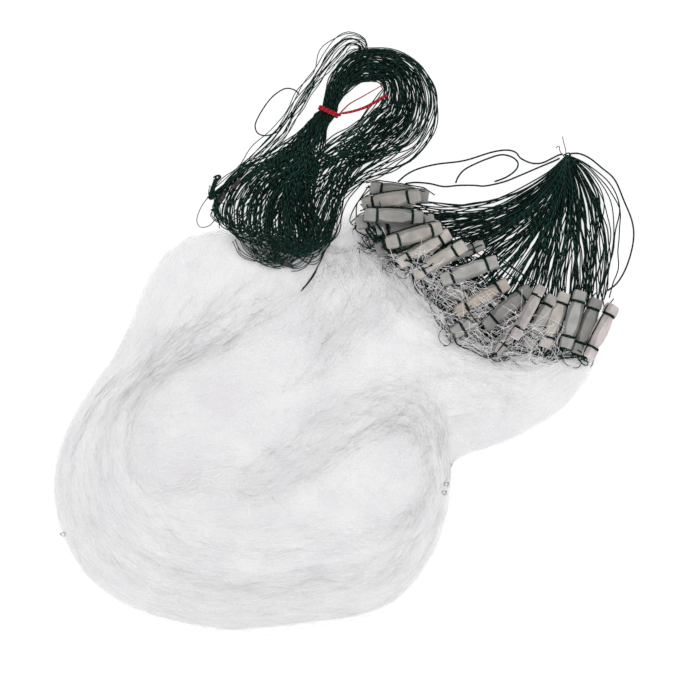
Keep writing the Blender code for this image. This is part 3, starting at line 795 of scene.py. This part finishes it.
def side_turns():
    rng = default_rng(8)
    places = np.linspace(0, len(HANK_SIDE) - 1, 18)
    for _ in range(SIDE_TURNS):
        share = rng.uniform(-1.2, 1.2)
        wander = 0.4 * np.sin(np.linspace(0, 5, 18) + rng.uniform(0, 6))
        up = bunch_points(HANK_SIDE, places, share + wander)
        tail = np.array([(24, 235), (20, 226), (12, 214)]) + rng.normal(0, 2.0, (3, 2))
        foot = np.array([(-98, 97), (-104, 103)]) + rng.normal(0, 2.5, (2, 2))
        path = wavered(smooth_path(np.concatenate((foot, up[1:-1], tail)), LINE_STEP), rng, 1.0)
        yield at_heights(path, smoothed(hank_heights(path, rng.uniform(0.1, 0.9)), 4))


FOOT_LOOP = [(-104, 122), (-110, 118), (-116, 110), (-120, 99), (-117, 92.5), (-109, 94), (-103, 101)]
HANK_KNOTS = [(-46, 62), (-6, 82), (-106, 107)]
WRAPPED_ENDS = [
    [(-109, 117), (-106.5, 126), (-103, 134)],
    [(-109, 117), (-97.5, 126.5), (-85.5, 135.5)],
]
WRAPPED_LINES = 6  # lines side by side in a wrapped end
WRAPPING_KNOTS = [(-102.5, 134.7, 2.6), (-103.6, 132.4, 1.7), (-108.6, 117.6, 1.9), (-86, 135.3, 1.8)]
DOUBLED_END = [(-5, 83), (-12, 70), (-16, 61), (-21.5, 51), (-27, 43), (-30, 40)]


def knot_path(x, y, height, size):
    turn = np.linspace(0, 5 * np.pi, 30)
    round_x = size * np.cos(turn) * (1 + 0.3 * np.sin(0.4 * turn))
    round_y = size * np.sin(turn) * np.cos(0.5 * turn)
    return placed(np.array((x, y, height)) + np.column_stack((round_x, round_y, 0.5 * size * np.sin(turn))))


def over_netting(route, lift, step=3.0):
    path = smooth_path(route, step)
    under = NETTING_RELIEF.heights(path)
    return at_heights(path, smoothed(np.where(under > 1, under + lift, 0.6), 2))


def hank_top(x, y):
    return hank_heights(np.array([(x, y)]), 1.0)[0]


def wrapped_ends():
    """Ends of line wrapped together in close bundles with their knots."""
    rng = default_rng(73)
    for route in WRAPPED_ENDS:
        for _ in range(WRAPPED_LINES):
            path = smooth_path(np.array(route) + rng.normal(0, 0.9, 2), 2.5)
            yield at_heights(path, smoothed(hank_heights(path, 1.0), 3) + rng.uniform(0.8, 2.2))
    for x, y, size in WRAPPING_KNOTS:
        height = hank_top(x, y) + 1.6
        yield from (knot_path(x, y, height, size), knot_path(x, y, height + 0.7, 0.6 * size))


SINKERS = ("sinker_1", "sinker_2", "sinker_3")
SINKER_HALF_LENGTH = 0.005
SINKER_HALF_WIDTH = 0.0023


def pressed_under_sinkers(paths):
    """Presses the line down where it would cross over a sinker."""
    for name in SINKERS:
        middle, axes = float_frame(name)
        for path in paths:
            away = path - middle
            over = (abs(away @ axes[0]) < SINKER_HALF_LENGTH) & (abs(away @ axes[1]) < SINKER_HALF_WIDTH)
            path[over, 2] = np.minimum(path[over, 2], middle[2] - SINKER_HALF_WIDTH)


def with_girth(paths, girth=1.0):
    return [(path, np.full(len(path), girth)) for path in paths]


def add_hank():
    thin = [*loose_bights(), over_netting(FOOT_LOOP, 1.5), *side_turns()]
    knots = [knot_path(x, y, hank_top(x, y) + 1.2, 1.5) for x, y in HANK_KNOTS]
    thick = [*hank_turns(), *knots, over_netting(DOUBLED_END, 2.4), *wrapped_ends()]
    pressed_under_sinkers(thick + thin)
    lines = with_girth(thick) + with_girth(thin, THIN)
    strands("hank_of_foot_line", "green_line", GREEN_LINE, LINE, 5, lines, "foot_line_hank")


# ------ head line fan
Lock = namedtuple("Lock", "x y bow")

GATHER = (194, 153)
GATHER_HEIGHT = 13.0
LOCK_END_HEIGHT = 4.5
LOCKS = table(
    Lock,
    (70, 119, 30), (76, 111, 30), (82, 103, 28), (88, 95, 26), (96, 87, 23), (106, 79, 20), (119, 71, 17),
    (130, 60, 15), (142, 50, 12), (155, 44, 9), (168, 38, 7), (180, 36, 7), (193, 37, 9), (205, 37, 13),
    (215, 35, 19), (224, 35, 27),
)
HEAD_LINE = 1.25
FAN_STRANDS = 225
FAN_REACH = 52.0  # how far a line runs in under the floats, partly real line, partly painted shade in the gaps between them


def fan_path(end, bow, sway, high):
    """A line from the gather to its end beside the floats, in a bow."""
    start = np.array(GATHER, float)
    along = end - start
    across = np.array((-along[1], along[0])) / np.linalg.norm(along)
    t = np.linspace(0, 1, 12)
    aside = bow * 0.9 * np.sin(np.pi * t ** 0.8) + sway * np.sin(2 * np.pi * t)
    heights = GATHER_HEIGHT + (LOCK_END_HEIGHT - GATHER_HEIGHT) * t ** 0.7
    plan = start + along * t[:, None] + across * aside[:, None]
    return np.column_stack((plan, np.maximum(0.8, heights * high)))


GATHER_ENDS = [
    [(193, 152, 12), (192.5, 158, 12), (191, 164, 11), (190, 169, 10)],
    [(192, 151, 12), (188, 156, 12), (187, 161, 11), (184.5, 159, 10)],
]


def add_fan():
    rng = default_rng(3)
    start = np.array(GATHER)
    lines = []
    for number in range(FAN_STRANDS):
        place = (len(LOCKS) - 1) * (number + rng.uniform()) / FAN_STRANDS
        lock = rows_at(LOCKS, np.array([place]))[0]
        right = np.clip((lock[0] - 150) / 75, 0, 1)
        reach = FAN_REACH if lock[0] < 205 else 0.25 * FAN_REACH
        beyond = 1 + reach * rng.uniform(0.2, 1.0) / np.linalg.norm(lock[:2] - start)
        end = start + (lock[:2] - start) * beyond + rng.normal(0, 3.5, 2)
        bow = lock[2] * rng.uniform(0.7 - 0.7 * right, 1.15 + 0.45 * right)
        path = fan_path(end, bow, rng.normal(0, 2.2 + 1.5 * right), rng.uniform(0.1, 1.0))
        path = smooth_path(path, LINE_STEP)
        plan = wavered(path[:, :2], rng, np.linspace(0.25, 1, len(path)))
        under = NETTING_RELIEF.heights(plan)
        height = np.maximum(path[:, 2], np.where(under > 1, under + rng.uniform(0.7, 2.0), 0))
        lines += with_girth([at_heights(plan, smoothed(height, 1))], rng.uniform(0.8, 1.0))
    lines += with_girth([placed(smooth_path(end, 2.0)) for end in GATHER_ENDS], 0.6)
    lines += with_girth([knot_path(*GATHER, GATHER_HEIGHT, 2.4)], 0.8)
    strands("fan_of_head_line", "green_line", GREEN_LINE, HEAD_LINE, 5, lines, "head_line_fan")


# ------ floats
SHADES = """
    grey grey grey grey beige grey pink grey grey grey beige
    beige brown beige grey beige grey grey beige grey pink pink
""".split()
FLOAT_TONES = [
    1.0, 1.2, 0.9, 1.5, 1.1, 1.4, 1.3, 1.6, 1.4, 1.6, 1.7,
    1.0, 1.3, 1.4, 1.1, 1.2, 1.5, 0.9, 1.6, 1.0, 1.7, 2.0,
]
PAINTED_END_LIGHT = 1.3  # the sawn ends get a painted highlight, paler than the sides
FLOAT_LENGTH = 50.0
FLOAT_WIDTH = 13.0
FLOAT_THICKNESS = 9.5
FLOAT_CORNER = 1.9
LOWEST_FOAM = 0.0002
WORN_EDGE = 0.0003
SHARP_ANGLE = math.radians(20)
# A cross section: its place as a share of half the length, its width and thickness as shares of the
# whole, and how far its corners are cut.
Slice = namedtuple("Slice", "place width thickness cut")
FLOAT_SLICES = table(
    Slice,
    (0.0, 1.0, 1.0, 1.0), (0.3, 1.0, 1.0, 1.15), (0.55, 0.9, 0.92, 1.75), (0.585, 0.78, 0.84, 1.2),
    (0.655, 0.78, 0.84, 0.8), (0.69, 0.94, 0.96, 0.7), (0.92, 0.9, 0.93, 0.8), (1.0, 0.8, 0.84, 1.0),
)
# The eight corners of a slice in their order: the sides they lie at, and which way each is cut in.
CORNER_SIDES = np.repeat([(1, -1), (1, 1), (-1, 1), (-1, -1)], 2, axis=0)
CORNER_CUTS = np.array([(1, 0), (0, 1), (0, 1), (1, 0)] * 2)
GROOVE = 0.62
LASHING = 1.1
LASHING_TURNS = 1.5
LOWEST_LASHING = 0.0006


def float_frame(name):
    """The place and the axes of a float or a sinker, the long one first."""
    corners = np.array([vert.co for vert in nodes[name].data.vertices])
    corners = np.unique(np.round(corners, 6), axis=0)
    middle = corners.mean(0)
    axes = np.linalg.svd(corners - middle)[2]
    if axes[0] @ (placed([(*GATHER, 0)])[0] - middle) < 0:
        axes[0] = -axes[0]
    if axes[2][2] < 0:
        axes[2] = -axes[2]
    axes[1] = np.cross(axes[2], axes[0])
    return middle, axes


def float_mesh(name, middle, axes, rng, tone):
    """A carved float with worn edges; painted shade on each facet, lightest on top, a painted highlight at
    its ends.
    """
    rings = []
    slices = [Slice(-one.place, *one[1:]) for one in FLOAT_SLICES[:0:-1]] + FLOAT_SLICES
    shape = bmesh.new()
    for along, width, thickness, cut in slices:
        half_width = FLOAT_WIDTH / 2 * width * rng.uniform(0.97, 1.0)
        half_thickness = FLOAT_THICKNESS / 2 * thickness * rng.uniform(0.97, 1.0)
        corner = FLOAT_CORNER * cut * rng.uniform(0.8, 1.1) * min(width, thickness)
        ring = CORNER_SIDES * ((half_width, half_thickness) - CORNER_CUTS * corner)
        corners = [middle + MM * (np.array((along * FLOAT_LENGTH / 2, y, z)) @ axes) for y, z in ring]
        rings.append([shape.verts.new((x, y, max(z, LOWEST_FOAM))) for x, y, z in corners])
    for low, high in zip(rings, rings[1:]):
        for k in range(8):
            shape.faces.new((low[k], low[(k + 1) % 8], high[(k + 1) % 8], high[k]))
    shape.faces.new(rings[0])
    shape.faces.new(rings[-1])
    bmesh.ops.recalc_face_normals(shape, faces=shape.faces)
    plain = mesh_of(name, shape)
    made = add_object(name, plain)
    edge = made.modifiers.new("worn edges", "BEVEL")
    edge.width = WORN_EDGE
    edge.limit_method = "ANGLE"
    edge.angle_limit = SHARP_ANGLE
    result = evaluated(made)
    made.modifiers.clear()
    made.data = result
    bpy.data.meshes.remove(plain)
    result.shade_smooth()
    result.set_sharp_from_angle(angle=SHARP_ANGLE)
    # painted shade: each facet but the top one gets a darker random tone, so the top one stays lightest
    painted_facet_shade = rng.uniform(0.45, 0.9, 8)
    painted_facet_shade[2] = 1.0
    tones = []
    for face in result.polygons:
        lengthways, across, up = axes @ np.array(face.normal)
        facet = round(math.atan2(up, across) / (math.pi / 4)) % 8
        tones.append(tone * (PAINTED_END_LIGHT if abs(lengthways) > 0.7 else painted_facet_shade[facet]))
    store(result, "tone", tones, "FACE")
    return made


def lashing_paths(middle, axes):
    """Turns of line round both grooves and the line between them."""
    turn = np.linspace(0, LASHING_TURNS, round(20 * LASHING_TURNS) + 1) * 2 * np.pi
    y = (FLOAT_WIDTH / 2 * 0.76 + LASHING / 2) * squared(np.cos(turn), 0.6)
    z = (FLOAT_THICKNESS / 2 * 0.82 + LASHING / 2) * squared(np.sin(turn), 0.6)
    reach = FLOAT_LENGTH / 2
    groove = GROOVE * reach
    paths = []
    for side in (-1, 1):
        x = side * groove + (turn / (2 * np.pi) - LASHING_TURNS / 2) * LASHING
        paths.append(np.column_stack((x, y, z)))
    paths.append(smooth_path([
        (reach + 5, 2, -1), (reach, 4.4, 0), (groove + 4, 6.9, 0), (groove, 6.9, 0.5), (6, 7.2, 0.5),
        (-6, 7.2, 0), (-groove, 6.9, 0.5), (-groove - 4, 6.9, 0), (-reach, 4.6, -0.6), (-reach - 4, 3, -2),
    ], 3.0))
    return [middle + MM * (path @ axes) for path in paths]


def add_floats():
    rng = default_rng(17)
    lashings = []
    for name, shade, tone in zip(FLOAT_NAMES, SHADES, FLOAT_TONES):
        middle, axes = float_frame(name)
        made = float_mesh(f"foam_{name}", middle, axes, rng, tone)
        made.data.materials.append(FOAMS[shade])
        finished(made, f"{shade}_foam", name)
        lashings += lashing_paths(middle, axes)
    lashings = [np.maximum(path, (-np.inf, -np.inf, LOWEST_LASHING)) for path in lashings]
    strands("float_lashings", "green_line", GREEN_LINE, LASHING, 5, with_girth(lashings))


# ------ where the netting meets the floats
HEADING = table(
    Section,
    (29, 68, 56, 70), (56, 53, 79, 70), (71, 31, 90, 61), (84, 15, 119, 48), (97, 4, 134, 32),
    (117, -10, 147, 20), (134, -16, 159, 12), (159, -18, 178, 9), (181, -21, 189, 3),
)
HEADING_TWINE = 0.3


def outer_ends():
    """The floats' ends away from the gather, in plan."""
    frames = [float_frame(name) for name in FLOAT_NAMES]
    return in_layout([middle - axes[0] * FLOAT_LENGTH / 2 * MM for middle, axes in frames])


def line_between_floats():
    """The head line where it sags from float to float, and more line in between that is partly painted
    shade.
    """
    rng = default_rng(19)
    ends = outer_ends()
    outward = ends - np.array(GATHER)
    outward /= lengths(outward)[:, None]
    t = np.array((0, 0.2, 0.5, 0.8, 1))
    hang = np.array((0, 0.8, 1, 0.8, 0))
    for end, following, out in zip(ends, ends[1:], outward[:-1] + outward[1:]):
        # Two passes sag out over the floats; the rest run in between them, partly real line and partly
        # painted shade.
        for sag in np.append(rng.uniform(2, 8, 2), rng.uniform(-44, 2, LINES_BETWEEN)):
            plan = end + (following - end) * t[:, None] + out / 2 * (hang * sag)[:, None]
            plan = smooth_path(plan + rng.normal(0, 1.4, plan.shape), 2.5)
            relief = HEADING_RELIEF if sag > 2 else NETTING_RELIEF
            yield at_heights(plan, smoothed(relief.heights(plan), 2) + rng.uniform(0.8, 2.6))


def curls():
    """Small curls of line where the mesh is tied on."""
    rng = default_rng(57)
    middles = [end + rng.normal(0, 4.5, 2) for end in outer_ends() for _ in range(CURLS_AT_END)]
    for _ in range(CURLS_BETWEEN):
        row = rows_at(HEADING, rng.uniform(2.5, len(HEADING) - 1, 1))[0]
        middles.append(between_edges(row, rng.uniform(0.05, 0.8)))
    for middle in middles:
        radius = rng.uniform(4.0, 10.0)
        sweep = rng.uniform(9, 22) / radius
        turn = rng.uniform(0, 2 * np.pi) + np.linspace(0, sweep, max(5, round(sweep * radius / 2.2)))
        swell = radius * (1 + 0.25 * np.sin(turn * rng.uniform(0.4, 1.3)))
        plan = middle + np.column_stack((np.cos(turn), np.sin(turn))) * swell[:, None]
        if HEADING_RELIEF.fills(plan).mean() < 0.9:
            continue
        yield at_heights(plan, smoothed(HEADING_RELIEF.heights(plan), 2) + rng.uniform(-1.2, 1.2))


def strands_across(rows, count, seed, relief, lift=(0.2, 2.0), first=(-0.2, 0.6)):
    """Strands of mesh from one edge of a strip towards the other."""
    rng = default_rng(seed)
    for _ in range(count):
        start = rng.uniform(*first)
        u = start + np.linspace(0, rng.uniform(0.35, 0.8), rng.integers(5, 9))
        place = rng.uniform(0, len(rows) - 1) + np.linspace(0, rng.normal(0.15, 0.35), len(u))
        plan = between_edges(rows_at(rows, place), u[:, None]) + rng.normal(0, 0.5, (len(u), 2))
        plan = smooth_path(plan, 4.0)
        height = draped(relief, plan) + rng.uniform(*lift)
        yield at_heights(plan, height), knotted(np.arange(len(plan))), np.ones(len(plan))


LINES_BETWEEN = 7
CURLS_AT_END = 8
CURLS_BETWEEN = 150
CURL = 0.72
SNAGS = [(91, -125), (89, -132), (-233, -168)]  # small snags at the rim of the netting


def add_heading():
    lines = with_girth(line_between_floats())
    strands("head_line_between_floats", "green_line", GREEN_LINE, LASHING, 5, lines)
    lines = [
        *netting_strands(HEADING, 200, 51, (40, 120), 0.3, 1.0, 0.12, 1.2, HEADING_RELIEF),
        *strands_across(HEADING, 150, 53, HEADING_RELIEF),
        *crossing_strands(HEADING, 60, 59, (28, 60), HEADING_RELIEF, (0.2, 2.0)),
    ]
    strands("netting_over_floats", "nylon_netting", NYLON_ON_TOP, HEADING_TWINE, 3, lines)
    snags = [knot_path(x, y, NETTING_RELIEF.heights([(x, y)])[0] + 1.5, 2.2) for x, y in SNAGS]
    # These green lines run out between the floats: partly real line, partly painted shade that darkens the
    # gaps between them.
    across = strands_across(HEADING, 640, 71, NETTING_RELIEF, (1.5, 5.0), (0.12, 0.6))
    lines = with_girth([*curls(), *(line[0] for line in across)]) + with_girth(snags, 0.4)
    strands("netting_ties_and_gap_shade", "green_line", GREEN_LINE, CURL, 4, lines)


# ------ loose lines and tie
# The girths at a cord's start and end are shares of its diameter. A route in plan lies over the netting.
CORD_DEFAULTS = (1.4, "object", "green_line", (1, 1))
Cord = namedtuple("Cord", "route diameter far_end slot girths", defaults=CORD_DEFAULTS)


def lying(height, plan):
    return [(x, y, height) for x, y in plan]


CORDS = {
    "head_line_stray_1": Cord([
        (51, 131, 0.8), (58, 137, 0.8), (68, 142, 0.8), (84, 146, 0.8), (107, 149, 0.8), (130, 156, 0.8),
        (143, 158, 0.8), (151, 156, 1.6), (155, 151, 2.8), (164, 147, 1.4), (173, 147, 0.8),
        (182, 151, 0.8), (187, 153.6, 0.8), (190.9, 154.6, 0.8),
    ]),
    "head_line_stray_2": Cord(lying(0.8, [
        (100, 130), (102, 135), (107, 141), (116, 146), (128, 151), (139, 154), (148, 152), (153, 147),
        (151, 141), (143, 135), (133, 131.2),
    ])),
    "head_line_stray_3": Cord(lying(0.8, [
        (57, 129.5), (66, 130.5), (78, 129.5), (90, 127), (103, 128), (116, 128), (125, 127.5),
        (141, 131), (156, 137), (170, 143), (182, 148), (188.4, 151),
    ])),
    "head_line_stray_4": Cord(lying(0.8, [
        (197.6, 155), (205, 155), (214, 151), (224, 143), (235, 133), (243, 115), (250, 97), (251, 81),
        (246, 61), (238, 46), (229, 38.5),
    ])),
    "foot_line_loop": Cord(lying(0.7, [
        (-33, 205.3), (-36, 208.5), (-42, 210.5), (-48, 209), (-57, 202), (-65, 191), (-70, 181),
        (-70, 175.5), (-67.5, 171.8), (-62, 170.2), (-56, 171.5), (-50, 174),
    ]), 1.1),
    "foot_line_end": Cord(
        [(-11.5, 72), (-14, 65), (-17, 59), (-20, 52), (-25, 45), (-31, 38)], 1.1, "bare"
    ),
    "tie_end_thick": Cord([
        (4.0, 188.6, 9.4), (12, 190, 11), (22, 193, 13), (32, 198, 16), (41, 203.5, 18),
    ], 2.4, "bare", "red_cord", (0.85, 1.2)),
    "tie_end_thin": Cord([
        (3.4, 190.4, 10.2), (10, 196.5, 12), (20, 202, 14), (30, 207.5, 17), (38, 212, 18),
    ], 0.9, "bare", "red_cord", (1.3, 0.9)),
}
TIE_MIDDLE = (-8, 190)
TIE_HEADING = 65.0
TIE_HALF_WIDTH = 8.8
TIE_LOW = 1.2
TIE_HIGH = 16.3
TIE_SQUARENESS = 0.55
TIE_CORD = 1.3
TIE_PITCH = 1.25
TIE_KNOT = (1.2, 187.3, 9.2)
TIE_KNOT_SIZE = (0.9, 0.9, 0.8)
TIE_KNOT_ENDS = [(-1.0, 187.8, 9.2), (1.5, 188.2, 9.6)]


def add_loose_lines():
    for name, (route, diameter, far_end, slot, girths) in CORDS.items():
        if len(route[0]) == 2:
            path = over_netting(route, 1.6, 2.0)
        else:
            path = placed(smooth_path(route, 2.0))
        girth = np.linspace(*girths, len(path))
        look = RED_CORD if slot == "red_cord" else GREEN_LINE
        made = strands("loose_" + name, slot, look, diameter, 8, [(path, girth)], name)


def add_tie_band():
    """Three turns of red cord round the neck of the hank, and a small knot."""
    heading = math.radians(TIE_HEADING)
    across = np.array((math.sin(heading), -math.cos(heading), 0))
    ahead = np.array((math.cos(heading), math.sin(heading), 0))
    middle = np.array((*TIE_MIDDLE, (TIE_LOW + TIE_HIGH) / 2))
    angle = np.linspace(0, 2 * np.pi, 41)
    turn = (
        middle + np.outer(squared(np.cos(angle), TIE_SQUARENESS), across) * TIE_HALF_WIDTH
        + np.outer(squared(np.sin(angle), TIE_SQUARENESS), (0, 0, (TIE_HIGH - TIE_LOW) / 2))
    )
    paths = [placed(turn + ahead * k * TIE_PITCH) for k in (-1, 0, 1)]
    wound = np.linspace(0, 4 * np.pi, 40)
    knot = np.column_stack((np.cos(wound), np.sin(wound) * np.cos(0.5 * wound), np.sin(wound)))
    paths.append(placed(TIE_KNOT + knot * TIE_KNOT_SIZE))
    for name in ("tie_end_thick", "tie_end_thin"):
        paths.append(placed(smooth_path([*TIE_KNOT_ENDS, CORDS[name].route[0]], 1.0)))
    strands("red_tie", "red_cord", RED_CORD, TIE_CORD, 6, with_girth(paths), "tie_band")


def add_sinkers():
    for name in SINKERS:
        nodes[name].data.materials.clear()
        nodes[name].data.materials.append(LEAD)


# ------ studio
Lamp = namedtuple("Lamp", "name place size power")

FLOOR_SIZE = 8
FLOOR_GLOW = 0.79
WORLD_GLOW = 1.4
LAMPS = table(Lamp, ("key", (0.9, 1.1, 1.9), 1.2, 8), ("fill", (-1.2, -0.2, 2.2), 1.6, 4))
WHITE = (1, 1, 1, 1)


def add_studio():
    bpy.ops.mesh.primitive_plane_add(size=FLOOR_SIZE)
    floor = bpy.context.object
    floor.name = "studio_floor"
    glow = {"Emission_Color": WHITE, "Emission_Strength": FLOOR_GLOW}
    floor.data.materials.append(principled("white floor", (0.2, 0.2, 0.2), 0.9, **glow)[0])
    world = bpy.data.worlds.new("studio")
    bpy.context.scene.world = world
    world.use_nodes = True
    set_inputs(world.node_tree.nodes["Background"], WHITE, WORLD_GLOW)
    for name, place, size, power in LAMPS:
        lamp = bpy.data.lights.new(name, "AREA")
        lamp.size = size
        lamp.energy = power
        held = add_object(name, lamp)
        held.location = place
        held.rotation_euler = (-Vector(place)).to_track_quat("-Z", "Y").to_euler()
    bpy.context.scene.view_settings.view_transform = "Standard"


add_loose_lines()
add_tie_band()
add_hank()
add_fan()
add_floats()
add_sinkers()
add_netting()
add_heading()
add_studio()
